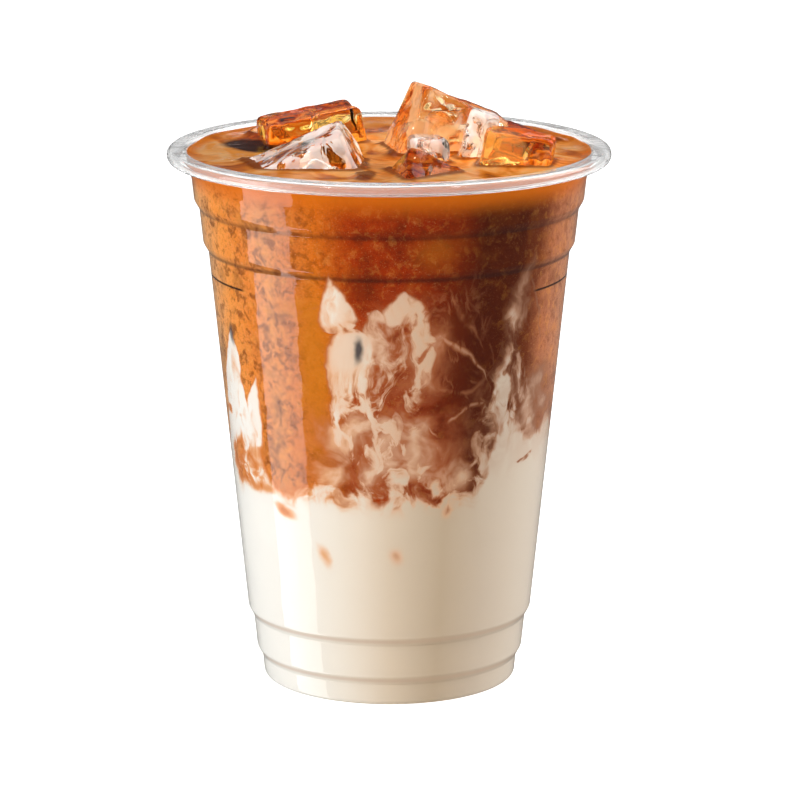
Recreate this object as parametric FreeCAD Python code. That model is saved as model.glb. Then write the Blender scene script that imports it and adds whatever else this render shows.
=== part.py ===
import FreeCAD, Part
import math
import os

# Iced latte in a clear disposable cup: the cup, the milk at its bottom, the coffee above it and the
# ice cubes that stand out of the coffee. Millimetres, +Z up, origin on the cup's axis at its foot.

# Cup: overall sizes
cup_height = 120.0          # foot to the top of the rolled rim
rim_diameter = 98.0         # over the rolled rim
base_diameter = 56.2        # over the foot
wall = 0.5                  # thickness of the clear sheet

# Cup: rolled rim and neck
curl_width = 4.0            # rolled rim, from its inner edge to its outside
curl_height = 2.8
curl_tuck = 2.4             # how far the sheet turns back in under the rim
curl_flat = 0.2             # straight stretch between the roll's roundings
neck_inset = 1.4            # top of the neck inside the rim's inner edge
neck_drop = 6.7             # top of the neck below the top of the rim
neck_height = 4.5

# Cup: the two stacking bands and their creases
band_draft = 6.1            # degrees, slope of the neck and bands
step_width = 1.15           # how far a shoulder stands out over the wall below it
step_rise = 2.0             # height of a shoulder
collar_height = 7.6         # band under the neck
lower_band_height = 7.3     # band near the foot
base_band_height = 4.8      # plain band at the foot
shoulder_fillet = 1.6
crease_fillet = 0.7

# Cup: foot
foot_width = 3.4            # ring that the cup stands on, with its rounded edges
base_recess = 2.4           # how far the bottom lies above the ring
recess_slant = 0.9
foot_fillet = 1.2
foot_inner_fillet = 0.9

# Drink
fill_gap = 1.2              # drink level below the top of the rim
milk_level = 50.0           # mean height of the milk's top above the foot
milk_wave = 2.6             # height of the slow wave in the milk's top
milk_wave_x = 9.0           # the wave's length over 2 pi, across and along
milk_wave_y = 11.0
surface_steps = 36          # squares along each side of the milk's top surface

# Milk plumes that rise along the wall: direction in degrees from +X, height over the milk's mean
# level, and spread
plumes = [
    (-108.0, 43.0, 3.2),
    (-86.0, 42.0, 5.2),
    (-155.0, 27.0, 4.4),
    (-44.0, 27.0, 4.6),
    (-20.0, 15.0, 4.2),
    (22.0, 29.0, 4.8),
    (70.0, 36.0, 5.2),
    (128.0, 24.0, 4.2),
]

# Ice
ice_fillet = 1.5            # rounding of the cubes' edges
ice_taper = 0.92            # top of a moulded cube against its bottom
ice_wall_gap = 0.6          # drink between a cube and the cup

# Each cube: share of the drink's radius and direction of its centre, height of its centre over the
# drink level, its length, width and height, and its turns about Z, Y and X in degrees.
cubes = {
    "ice_tall": (0.28, 22.0, 0.0, (23.0, 18.0, 24.0), (13.0, 23.0, 0.0)),
    "ice_front_left": (0.58, -139.0, -4.8, (31.0, 16.0, 18.0), (-6.0, -25.0, 10.0)),
    "ice_back_left": (0.53, 136.0, -2.8, (24.0, 17.0, 19.0), (12.0, -9.0, 0.0)),
    "ice_right": (0.70, -28.0, -1.6, (17.0, 13.0, 18.0), (-6.0, 9.0, 0.0)),
    "ice_back_right": (0.72, 27.0, -5.3, (17.0, 12.0, 16.0), (-25.0, 16.0, 0.0)),
    "ice_corner": (0.66, -77.0, -5.0, (15.0, 15.0, 15.0), (18.0, 24.0, -42.0)),
    "ice_clear": (0.47, -22.0, 2.8, (8.0, 6.0, 16.0), (8.0, 16.0, 0.0)),
    "ice_small": (0.35, -58.0, 0.0, (9.0, 8.0, 12.0), (20.0, 0.0, 8.0)),
    "ice_front": (0.74, -106.0, -7.6, (15.0, 12.0, 14.0), (-8.0, -9.0, 0.0)),
    "ice_chip": (0.82, 138.0, -2.7, (8.0, 7.0, 10.0), (20.0, -20.0, 0.0)),
}

rim_radius = rim_diameter / 2
base_radius = base_diameter / 2
mouth_radius = rim_radius - curl_width
drink_level = cup_height - fill_gap
curl_fillet = (curl_height - curl_flat) / 2 - wall


def rise(height):
    # How much wider a band gets over this height.
    return height * math.tan(math.radians(band_draft))


def cup_corners():
    # Corners of the cup's outside from the axis to the neck: radius, height, corner radius.
    foot_inner = base_radius - foot_width
    base_top = base_radius + rise(base_band_height)
    lower_foot = base_top + step_width
    lower_top = lower_foot + rise(lower_band_height)
    main_foot = lower_top + step_width
    neck_top = mouth_radius - neck_inset
    neck_foot = neck_top - rise(neck_height)
    collar_top = neck_foot - step_width
    collar_foot = collar_top - rise(collar_height)
    main_top = collar_foot - step_width

    lower_start = base_band_height + step_rise
    lower_end = lower_start + lower_band_height
    neck_end = cup_height - neck_drop
    neck_start = neck_end - neck_height
    collar_end = neck_start - step_rise
    collar_start = collar_end - collar_height
    return [
        (0, base_recess, 0),
        (foot_inner - recess_slant, base_recess, foot_fillet),
        (foot_inner, 0, foot_inner_fillet),
        (base_radius, 0, foot_fillet),
        (base_top, base_band_height, crease_fillet),
        (lower_foot, lower_start, shoulder_fillet),
        (lower_top, lower_end, crease_fillet),
        (main_foot, lower_end + step_rise, shoulder_fillet),
        (main_top, collar_start - step_rise, crease_fillet),
        (collar_foot, collar_start, shoulder_fillet),
        (collar_top, collar_end, crease_fillet),
        (neck_foot, neck_start, shoulder_fillet),
        (neck_top, neck_end, shoulder_fillet),
    ]


def curl_corners():
    # Corners of the rolled rim, from the mouth outwards and back under, along the roll's hollow side.
    over = cup_height - wall
    under = cup_height - curl_height + wall
    outer = rim_radius - wall
    return [
        (mouth_radius, over, curl_fillet),
        (outer, over, curl_fillet),
        (outer, under, curl_fillet),
        (outer - curl_tuck, under, 0),
    ]


def rounded_path(corners):
    # An open wire in the XZ plane along the corners, each rounded with its own radius.
    points = [FreeCAD.Vector(radius, 0, height) for radius, height, fillet in corners]
    edges = []
    start = points[0]
    for before, corner, after, data in zip(points, points[1:], points[2:], corners[1:]):
        fillet = data[2]
        back = (before - corner).normalize()
        ahead = (after - corner).normalize()
        half = back.getAngle(ahead) / 2
        reach = fillet / math.tan(half)
        middle = (back + ahead).normalize() * (fillet / math.sin(half) - fillet)
        enter = corner + back * reach
        leave = corner + ahead * reach
        edges.append(Part.LineSegment(start, enter).toShape())
        edges.append(Part.Arc(enter, corner + middle, leave).toShape())
        start = leave
    edges.append(Part.LineSegment(start, points[-1]).toShape())
    return Part.Wire(edges)


def turned(face):
    return face.revolve(FreeCAD.Vector(0, 0, 0), FreeCAD.Vector(0, 0, 1), 360)


def make_cup():
    path = rounded_path(cup_corners() + curl_corners())
    sheet = path.makeOffset2D(wall, 0, True, True)
    return turned(sheet)


def make_inside(gap):
    # Everything within the cup's inner face, and this far clear of it, up to the top of the rim.
    path = rounded_path(cup_corners() + curl_corners()[:2])
    inner = path.makeOffset2D(wall + gap, 0, False, True)
    points = [vertex.Point for vertex in inner.Vertexes]
    bottom = min(points, key=lambda point: point.x)
    top = max(points, key=lambda point: point.x)
    axis_top = FreeCAD.Vector(0, 0, top.z)
    lid = Part.makePolygon([top, axis_top, bottom])
    return turned(Part.Face(Part.Wire(inner.Edges + lid.Edges)))


def inside_radius(height):
    # Radius of the cup's inner face at this height.
    disc = Part.makeCylinder(rim_radius, wall, FreeCAD.Vector(0, 0, height - wall))
    return make_inside(0).common(disc).optimalBoundingBox(False).XMax


def make_block(length, width, height):
    # A moulded cube about its own centre, a little narrower at its top, with rounded edges.
    rings = []
    for share, level in ((1, -height / 2), (ice_taper, height / 2)):
        half_length = length / 2 * share
        half_width = width / 2 * share
        corners = [(-1, -1), (1, -1), (1, 1), (-1, 1), (-1, -1)]
        points = [FreeCAD.Vector(x * half_length, y * half_width, level) for x, y in corners]
        rings.append(Part.makePolygon(points))
    block = Part.makeLoft(rings, True, True)
    return block.makeFillet(ice_fillet, block.Edges)


def make_cubes():
    # Every cube in its place, kept off the cup's wall; where two meet, the later one gives way.
    radius = inside_radius(drink_level)
    surface = FreeCAD.Vector(0, 0, drink_level)
    above = Part.makeCylinder(radius - ice_wall_gap, cup_height, surface)
    room = make_inside(ice_wall_gap).fuse(above)
    placed = {}
    for name, (share, direction, lift, size, turns) in cubes.items():
        angle = math.radians(direction)
        reach = share * radius
        centre = FreeCAD.Vector(reach * math.cos(angle), reach * math.sin(angle), drink_level + lift)
        block = make_block(*size)
        block.Placement = FreeCAD.Placement(centre, FreeCAD.Rotation(*turns))
        cube = block.common(room)
        for earlier in placed.values():
            cube = cube.cut(earlier)
        placed[name] = max(cube.Solids, key=lambda solid: solid.Volume)
    return placed


def milk_height(x, y, plume_centres):
    # Height of the milk's top: a slow wave with the plumes on it.
    height = milk_level + milk_wave * math.sin(x / milk_wave_x) * math.cos(y / milk_wave_y)
    for centre_x, centre_y, rise_height, spread in plume_centres:
        away = ((x - centre_x) ** 2 + (y - centre_y) ** 2) / (2 * spread ** 2)
        height += rise_height * math.exp(-away)
    return height


def make_below_milk_top():
    # A block with the milk's wavy top, wider than the cup.
    reach = inside_radius(milk_level)
    centres = []
    for direction, height, spread in plumes:
        angle = math.radians(direction)
        centres.append((reach * math.cos(angle), reach * math.sin(angle), height, spread))
    steps = [rim_radius * (2 * step / surface_steps - 1) for step in range(surface_steps + 1)]
    rows = [[FreeCAD.Vector(x, y, milk_height(x, y, centres)) for y in steps] for x in steps]
    surface = Part.BSplineSurface()
    surface.interpolate(rows)
    depth = FreeCAD.Vector(0, 0, -2 * cup_height)
    return surface.toShape().extrude(depth)


def make_drink(ice):
    space = make_inside(0)
    level = Part.makeCylinder(rim_radius, drink_level)
    drink = space.common(level)
    for cube in ice.values():
        drink = drink.cut(cube)
    below = make_below_milk_top()
    return drink.common(below), drink.cut(below)


def main():
    os.makedirs("parts", exist_ok=True)
    ice = make_cubes()
    milk, coffee = make_drink(ice)
    nodes = {"cup": make_cup(), "milk": milk, "coffee": coffee}
    nodes.update(ice)
    for name, shape in nodes.items():
        print(name, len(shape.Solids), shape.isValid(), round(shape.Volume))
        shape.exportStep("parts/" + name + ".step")


main()
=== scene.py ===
# Iced jasmine latte in a clear cup, layered: milk below, coffee above, ice standing out of the top.
# Lengths in the dictionaries are millimetres, heights are over the foot; the scene itself is in metres.
import math

import bmesh
import bpy
import numpy as np
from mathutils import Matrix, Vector


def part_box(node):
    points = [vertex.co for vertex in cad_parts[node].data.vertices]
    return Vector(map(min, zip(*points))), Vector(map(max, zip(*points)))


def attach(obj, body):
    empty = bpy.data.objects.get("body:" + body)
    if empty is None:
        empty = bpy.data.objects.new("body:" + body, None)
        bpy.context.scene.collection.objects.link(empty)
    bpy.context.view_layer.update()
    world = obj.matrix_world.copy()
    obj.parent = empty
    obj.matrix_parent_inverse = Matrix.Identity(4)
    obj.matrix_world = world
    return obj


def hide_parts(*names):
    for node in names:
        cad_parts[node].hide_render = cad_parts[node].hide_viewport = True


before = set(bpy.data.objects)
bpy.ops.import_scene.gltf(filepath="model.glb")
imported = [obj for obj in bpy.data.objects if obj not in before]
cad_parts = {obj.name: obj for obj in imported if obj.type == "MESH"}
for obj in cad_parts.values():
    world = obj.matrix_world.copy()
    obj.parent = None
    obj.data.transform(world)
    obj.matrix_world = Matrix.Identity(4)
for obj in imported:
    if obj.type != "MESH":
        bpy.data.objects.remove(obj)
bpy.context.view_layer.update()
mm = 0.001
iceNames = sorted(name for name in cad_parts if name.startswith("ice_"))
print("frame loaded:", len(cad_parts), "nodes")


def addObject(name, data):
    # A new object with this data, in the scene.
    thing = bpy.data.objects.new(name, data)
    bpy.context.scene.collection.objects.link(thing)
    return thing


def newPiece(name, mesh, slot, *nodes):
    # A visible piece: it stands on the root body and hides the nodes that it replaces; the slot is not used.
    piece = addObject(name, mesh)
    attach(piece, "root")
    if nodes:
        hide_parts(*nodes)
    return piece


def gridFaces(rows, columns):
    # Quads between neighbouring rows and columns; the last column meets the first.
    row, column = np.meshgrid(np.arange(rows - 1), np.arange(columns), indexing="ij")
    beside = (column + 1) % columns
    near, far = row * columns, (row + 1) * columns
    return np.stack([near + column, near + beside, far + beside, far + column], axis=-1).reshape(-1, 4)


def fillMesh(name, points, faces):
    # Whole arrays of points and quads, put in with foreach_set.
    mesh = bpy.data.meshes.new(name)
    mesh.vertices.add(len(points))
    mesh.vertices.foreach_set("co", np.asarray(points, np.float32).ravel())
    mesh.loops.add(faces.size)
    mesh.loops.foreach_set("vertex_index", faces.astype(np.int32).ravel())
    mesh.polygons.add(len(faces))
    mesh.polygons.foreach_set("loop_start", np.arange(0, faces.size, 4, dtype=np.int32))
    mesh.update(calc_edges=True)
    return mesh


def closeSeams(mesh, distance=1e-6):
    # Merges the doubled points of poles and seams, then turns every face outwards; distance in metres.
    shell = bmesh.new()
    shell.from_mesh(mesh)
    bmesh.ops.remove_doubles(shell, verts=shell.verts, dist=distance)
    bmesh.ops.dissolve_degenerate(shell, edges=shell.edges, dist=distance)
    bmesh.ops.recalc_face_normals(shell, faces=shell.faces)
    shell.to_mesh(mesh)
    shell.free()
    mesh.shade_smooth()


def readVectors(items, field):
    # One field of three numbers for every point or face, a row for each.
    values = np.empty(len(items) * 3, np.float32)
    items.foreach_get(field, values)
    return values.reshape(-1, 3)


def readPoints(mesh):
    # The mesh's points in metres.
    return readVectors(mesh.vertices, "co").astype(float)


def wobble(points, length, seed, waves=7, spread=(0.7, 1.4), gain=1.8):
    # A smooth random value, about -1 to 1, at each point: the mean of sine waves in random directions.
    dice = np.random.default_rng(seed)
    total = np.zeros(len(points))
    for wave in range(waves):
        direction = dice.normal(size=3)
        direction *= 2 * math.pi / (length * np.linalg.norm(direction)) * dice.uniform(*spread)
        total += np.sin(points @ direction + dice.uniform(0, 2 * math.pi))
    return total / waves * gain


def tone(red, green, blue):
    # A colour as it looks on a screen, 0 to 255, turned into Blender's linear values.
    shades = [channel / 255 for channel in (red, green, blue)]
    return [c / 12.92 if c <= 0.04045 else ((c + 0.055) / 1.055) ** 2.4 for c in shades] + [1.0]


class NodeSheet:
    # The nodes of one material, or of the world, with a short call for each kind that is used here.
    # Colours for mix, wash and ramp are given as they look on a screen: red, green and blue, 0 to 255.
    def __init__(self, owner, output="OutputMaterial"):
        owner.use_nodes = True
        self.owner = owner
        self.tree = owner.node_tree
        self.tree.nodes.clear()
        self.output = self.add(output)

    def add(self, kind):
        return self.tree.nodes.new("ShaderNode" + kind)

    def join(self, socket, value):
        # A link from another node's socket, or else a plain value.
        if isinstance(value, bpy.types.NodeSocket):
            self.tree.links.new(value, socket)
        else:
            socket.default_value = value

    def joinColour(self, socket, colour):
        self.join(socket, colour if isinstance(colour, bpy.types.NodeSocket) else tone(*colour))

    def metres(self):
        # The place on the object.
        return self.add("TexCoord").outputs["Object"]

    def millimetres(self):
        return self.vector("SCALE", self.metres(), 1 / mm)

    def split(self, place):
        # The three coordinates of a place.
        node = self.add("SeparateXYZ")
        self.join(node.inputs[0], place)
        return node.outputs

    def math(self, kind, *values, clamp=False):
        # One step of arithmetic; clamp keeps the result between 0 and 1.
        node = self.add("Math")
        node.operation = kind
        node.use_clamp = clamp
        for socket, value in zip(node.inputs, values):
            self.join(socket, value)
        return node.outputs[0]

    def times(self, product, *others):
        # All the values multiplied with one another.
        for other in others:
            product = self.math("MULTIPLY", product, other)
        return product

    def vector(self, kind, *values):
        # One step of arithmetic with three numbers at once.
        node = self.add("VectorMath")
        node.operation = kind
        sockets = (node.inputs[0], node.inputs["Scale"]) if kind == "SCALE" else node.inputs
        for socket, value in zip(sockets, values):
            self.join(socket, value)
        return node.outputs["Value" if kind in ("LENGTH", "DOT_PRODUCT") else "Vector"]

    def noise(self, place, scale, detail=2.0, roughness=0.5, distortion=0.0, colour=False):
        # Cloudy random values from 0 to 1 with a mean of a half, or three of them as a colour.
        node = self.add("TexNoise")
        settings = {"Vector": place, "Scale": scale, "Detail": detail, "Roughness": roughness,
                    "Distortion": distortion}
        for name, value in settings.items():
            self.join(node.inputs[name], value)
        return node.outputs["Color" if colour else "Fac"]

    def push(self, place, noise, distance):
        # The place plus the distance times a coloured noise, whose middle value moves nothing.
        away = self.vector("SUBTRACT", noise, (0.5, 0.5, 0.5))
        return self.vector("ADD", place, self.vector("SCALE", away, distance))

    def cells(self, place, scale, feature="F1"):
        # Space divided round random points.
        node = self.add("TexVoronoi")
        node.feature = feature
        self.join(node.inputs["Scale"], scale)
        self.join(node.inputs["Vector"], place)
        return node.outputs

    def step(self, value, low, high):
        # 0 below low, 1 above high, smooth between; the other way round when low is above high.
        node = self.add("MapRange")
        node.interpolation_type = "SMOOTHSTEP"
        self.join(node.inputs["Value"], value)
        self.join(node.inputs["From Min"], low)
        self.join(node.inputs["From Max"], high)
        return node.outputs["Result"]

    def band(self, value, middle, half, core=0.0):
        # 1 where the value is within core of the middle, fading to 0 at half.
        away = self.math("ABSOLUTE", self.math("SUBTRACT", value, middle))
        return self.step(away, half, core)

    def oval(self, place, middle, halves, turn, start, full):
        # The distance from the middle, measured in half sizes: 0 beyond start and 1 within full.
        node = self.add("Mapping")
        node.vector_type = "TEXTURE"
        self.join(node.inputs["Vector"], place)
        self.join(node.inputs["Location"], middle)
        self.join(node.inputs["Rotation"], (0, 0, math.radians(turn)))
        self.join(node.inputs["Scale"], halves)
        return self.step(self.vector("LENGTH", node.outputs["Vector"]), start, full)

    def curve(self, value, points):
        # A smooth curve through (value, result) points, both in the user's own units.
        lows = [min(point[k] for point in points) for k in (0, 1)]
        spans = [max(max(point[k] for point in points) - lows[k], 1e-6) for k in (0, 1)]
        node = self.add("FloatCurve")
        line = node.mapping.curves[0]
        shares = sorted(((x - lows[0]) / spans[0], (y - lows[1]) / spans[1]) for x, y in points)
        while len(line.points) < len(shares):
            line.points.new(0.5, 0.5)
        for knot, share in zip(line.points, shares):
            knot.location = share
        node.mapping.update()
        share = self.math("DIVIDE", self.math("SUBTRACT", value, lows[0]), spans[0], clamp=True)
        self.join(node.inputs["Value"], share)
        return self.math("MULTIPLY_ADD", node.outputs[0], spans[1], lows[1])

    def ramp(self, value, stops):
        # Colours along the value: each stop is its position, red, green and blue.
        node = self.add("ValToRGB")
        marks = node.color_ramp.elements
        marks.remove(marks[1])
        marks[0].position = stops[0][0]
        for position, *colour in stops[1:]:
            marks.new(position)
        for mark, (position, *colour) in zip(marks, stops):
            mark.color = tone(*colour)
        self.join(node.inputs["Fac"], value)
        return node.outputs["Color"]

    def mix(self, share, first, second):
        # The first colour where the share is 0, the second where it is 1.
        node = self.add("Mix")
        node.data_type = "RGBA"
        self.join(node.inputs["Factor"], share)
        self.joinColour(node.inputs[6], first)
        self.joinColour(node.inputs[7], second)
        return node.outputs[2]

    def wash(self, colour, tint, *shares):
        # Lays a tint over the colour, as thickly as the product of the shares says.
        return self.mix(self.times(*shares), colour, tint)

    def bump(self, height, distance, strength):
        # Distance is the depth in millimetres.
        node = self.add("Bump")
        self.join(node.inputs["Height"], height)
        self.join(node.inputs["Distance"], distance * mm)
        self.join(node.inputs["Strength"], strength)
        return node.outputs["Normal"]

    def shader(self, kind, **values):
        # Names of sockets with spaces in them are given with underscores.
        node = self.add(kind)
        for name, value in values.items():
            self.join(node.inputs[name.replace("_", " ")], value)
        return node.outputs[0]

    def mixShaders(self, share, first, second):
        node = self.add("MixShader")
        for socket, value in zip(node.inputs, (share, first, second)):
            self.join(socket, value)
        return node.outputs[0]

    def seenRay(self):
        # 1 for rays from the camera or out of something clear, 0 for the rest.
        path = self.add("LightPath")
        return self.math("MAXIMUM", path.outputs["Is Camera Ray"], path.outputs["Is Transmission Ray"])

    def finish(self, shader):
        self.join(self.output.inputs["Surface"], shader)
        return self.owner

    def finishMatte(self, colour):
        # What stands behind the cup or the ice has no gloss of its own.
        matte = self.shader("BsdfPrincipled", Base_Color=colour, Roughness=0.5, Specular_IOR_Level=0.0)
        return self.finish(matte)

    def finishClear(self, shader, shade):
        # Light passes a clear piece without being bent, so what stands behind it is lit plainly.
        shadowRay = self.add("LightPath").outputs["Is Shadow Ray"]
        clear = self.shader("BsdfTransparent", Color=shade)
        return self.finish(self.mixShaders(shadowRay, shader, clear))


def newFinish(name):
    # An empty sheet for a new material.
    return NodeSheet(bpy.data.materials.new(name))


cup = {
    "wall": 0.5,
    "baseRadius": 28.1,
    "curlWidth": 4.0,          # rolled rim, inner edge to outside
    "curlHeight": 2.8,
    "curlTuck": 2.4,
    "curlFlat": 0.2,
    "neckInset": 1.4,
    "neckDrop": 6.7,
    "neckHeight": 4.5,
    "bandDraft": 6.1,          # degrees
    "stepWidth": 1.15,
    "stepRise": 2.0,
    "collarHeight": 7.6,
    "lowerBandHeight": 7.3,
    "baseBandHeight": 4.8,
    "shoulderFillet": 1.6,
    "creaseFillet": 0.7,
    "footWidth": 3.4,
    "baseRecess": 2.4,
    "recessSlant": 0.9,
    "footFillet": 1.2,
    "footInnerFillet": 0.9,
    "around": 256,             # facets round the cup
    "between": 2.0,            # longest step along the outline
    "arcPoints": 7,            # points on each rounding
    "tint": (252, 253, 253),
    "rimHaze": 0.11,           # share of the rolled rim that scatters light
    "hazeFade": (-0.6, 0.4),   # where the haze starts and is full, from the foot of the roll
    "ripple": (90.0, 0.6, 0.25),           # moulding's unevenness: scale per metre, depth, strength
    "shadow": (0.97, 0.97, 0.97, 1.0),     # share of the light that gets through
}
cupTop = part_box("cup")[1].z / mm
rimRadius = min(-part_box("cup")[0].x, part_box("cup")[1].y) / mm
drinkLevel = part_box("coffee")[1].z / mm


def cupCorners():
    # Corners of the sheet from the axis to the tip of the rolled rim: radius, height, corner radius.
    slope = math.tan(math.radians(cup["bandDraft"]))
    footInner = cup["baseRadius"] - cup["footWidth"]
    baseTop = cup["baseRadius"] + cup["baseBandHeight"] * slope
    lowerFoot = baseTop + cup["stepWidth"]
    lowerTop = lowerFoot + cup["lowerBandHeight"] * slope
    neckTop = rimRadius - cup["curlWidth"] - cup["neckInset"]
    neckFoot = neckTop - cup["neckHeight"] * slope
    collarTop = neckFoot - cup["stepWidth"]
    collarFoot = collarTop - cup["collarHeight"] * slope
    lowerStart = cup["baseBandHeight"] + cup["stepRise"]
    lowerEnd = lowerStart + cup["lowerBandHeight"]
    neckEnd = cupTop - cup["neckDrop"]
    neckStart = neckEnd - cup["neckHeight"]
    collarEnd = neckStart - cup["stepRise"]
    collarStart = collarEnd - cup["collarHeight"]
    curlFillet = (cup["curlHeight"] - cup["curlFlat"]) / 2 - cup["wall"]
    over = cupTop - cup["wall"]
    under = cupTop - cup["curlHeight"] + cup["wall"]
    outer = rimRadius - cup["wall"]
    return [
        (0, cup["baseRecess"], 0),
        (footInner - cup["recessSlant"], cup["baseRecess"], cup["footFillet"]),
        (footInner, 0, cup["footInnerFillet"]),
        (cup["baseRadius"], 0, cup["footFillet"]),
        (baseTop, cup["baseBandHeight"], cup["creaseFillet"]),
        (lowerFoot, lowerStart, cup["shoulderFillet"]),
        (lowerTop, lowerEnd, cup["creaseFillet"]),
        (lowerTop + cup["stepWidth"], lowerEnd + cup["stepRise"], cup["shoulderFillet"]),
        (collarFoot - cup["stepWidth"], collarStart - cup["stepRise"], cup["creaseFillet"]),
        (collarFoot, collarStart, cup["shoulderFillet"]),
        (collarTop, collarEnd, cup["creaseFillet"]),
        (neckFoot, neckStart, cup["shoulderFillet"]),
        (neckTop, neckEnd, cup["shoulderFillet"]),
        (rimRadius - cup["curlWidth"], over, curlFillet),
        (outer, over, curlFillet),
        (outer, under, curlFillet),
        (outer - cup["curlTuck"], under, 0),
    ]


def roundedOutline(corners, arcPoints):
    # Straight runs joined by tangent arcs: at each corner the arc's points and their left-hand normals.
    places = [np.array(corner[:2], float) for corner in corners]
    first = places[1] - places[0]
    first /= np.linalg.norm(first)
    points = [places[0]]
    normals = [np.array([-first[1], first[0]])]
    for before, corner, after, data in zip(places, places[1:], places[2:], corners[1:]):
        radius = data[2]
        inward = (corner - before) / np.linalg.norm(corner - before)
        outward = (after - corner) / np.linalg.norm(after - corner)
        turn = math.atan2(inward[0] * outward[1] - inward[1] * outward[0], inward @ outward)
        left = np.array([-inward[1], inward[0]])
        side = math.copysign(1, turn)
        centre = corner - inward * radius * math.tan(abs(turn) / 2) + left * side * radius
        for share in np.linspace(0, 1, arcPoints):
            c, s = math.cos(turn * share), math.sin(turn * share)
            spoke = np.array([left[0] * c - left[1] * s, left[0] * s + left[1] * c])
            points.append(centre - spoke * side * radius)
            normals.append(spoke)
    points.append(places[-1])
    normals.append(normals[-1])
    return np.array(points), np.array(normals)


def refine(points, normals, longest):
    # Adds evenly spaced points on runs longer than the longest step, with normals between their neighbours'.
    length = np.concatenate([[0], np.cumsum(np.linalg.norm(np.diff(points, axis=0), axis=1))])
    runs = [(start, end) for start, end in zip(length, length[1:]) if end > start]
    stretches = [np.linspace(start, end, max(1, math.ceil((end - start) / longest)), endpoint=False)
                 for start, end in runs]
    along = np.concatenate(stretches + [[length[-1]]])
    spread = [np.stack([np.interp(along, length, values[:, k]) for k in (0, 1)], axis=1)
              for values in (points, normals)]
    return spread[0], spread[1] / np.linalg.norm(spread[1], axis=1, keepdims=True)


outline, outlineNormals = refine(*roundedOutline(cupCorners(), cup["arcPoints"]), cup["between"])


def lathe(profile, around):
    # Turns a profile of radius and height about the upright axis: x = r cos a, y = r sin a.
    angle = np.arange(around) * 2 * math.pi / around
    radius, height = profile[:, :1], profile[:, 1:]
    points = np.stack([radius * np.cos(angle), radius * np.sin(angle), height + 0 * angle], axis=-1)
    return points.reshape(-1, 3) * mm, gridFaces(len(profile), around)


def makeClearSheet():
    # Clear glossy PET with a very slow unevenness from the moulding; the rolled rim is a little milky.
    sheet = newFinish("clearSheet")
    place = sheet.metres()
    rollFoot = cupTop - cup["curlHeight"]
    start, full = [(rollFoot + fade) * mm for fade in cup["hazeFade"]]
    haze = sheet.times(sheet.step(sheet.split(place)["Z"], start, full), cup["rimHaze"])
    scale, depth, strength = cup["ripple"]
    ripple = sheet.bump(sheet.noise(place, scale), depth, strength)
    clear = sheet.math("SUBTRACT", 1.0, haze)
    plastic = sheet.shader("BsdfPrincipled", Base_Color=tone(*cup["tint"]), Roughness=0.05, IOR=1.5,
                           Transmission_Weight=clear, Normal=ripple)
    return sheet.finishClear(plastic, cup["shadow"])


def makeCup():
    # The sheet's outer line, then its inner line one wall away, turned about the axis.
    inner = outline + outlineNormals * cup["wall"]
    inner[0, 0] = 0
    section = np.concatenate([outline, inner[::-1]])
    mesh = fillMesh("cupBody", *lathe(section, cup["around"]))
    closeSeams(mesh)
    mesh.materials.append(makeClearSheet())
    return newPiece("cupBody", mesh, "clear_sheet", "cup")


cupBody = makeCup()
print("cup made:", len(cupBody.data.polygons), "faces")


ice = {
    "voxel": 0.55,
    "smoothing": 2,
    "slowWave": (11.0, 0.34),     # length and height of the melted faces' waves
    "quickWave": (3.6, 0.10),
    "melted": 0.42,               # how far the faces lie inside the cube's own
    "cutterShare": 0.93,          # the drink reaches into the ice up to this share of it
    "cutterSkip": 3,              # one in so many of a block's points shapes its cutter
    # Noises are given by scale, detail, roughness and distortion.
    "warp": (0.12, 7.0),          # scale of the swirls, and how far they push
    "cloud": (0.09, 3.0, 0.5, 0.4),
    "streak": (0.20, 4.0, 0.55, 1.2),
    "film": (0.07, 3.0, 0.5, 0.6),
    # Levels of those noises where a look starts and is full, and how far the block's own share lowers them.
    "tintEdge": (0.60, 0.74, 0.35),
    "filmEdge": (0.64, 0.74, 0.2),
    "streakEdge": (0.64, 0.67, 0.22),
    "darkEdge": 0.02,             # half width of the painted dark refraction line beside each white streak
    "hiding": (0.7, 0.5),         # how far foam and white streaks hide what lies behind
    "lineEdge": (0.022, 0.005),   # distance from a facet's border where its line of painted shade starts and is full
    "lineCloud": (0.60, 0.45),    # cloud levels where lines start and are full
    "unevenness": (0.09, 1.0),    # slow bumps under the facets: scale, detail
    "facets": 0.11,               # scale of the flat facets
    "facetSlope": 0.34,
    "facetDepth": (3.6, 0.5),     # depth and strength
    "crackDents": (700.0, 1.0, 0.3),       # scale per metre, depth, strength
    "shadow": (0.9, 0.84, 0.74, 1.0),      # share of the light that gets through
    "crackShadow": (0.98, 0.97, 0.95, 1.0),
    # Painted dark refraction beside the white streaks.
    "dark": (58, 30, 22),
    # Painted shade in the lines where facets meet.
    "line": (126, 52, 10),
    "clear": (253, 252, 250),
    "foam": (232, 178, 128),
    "air": (252, 251, 250),
}
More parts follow.
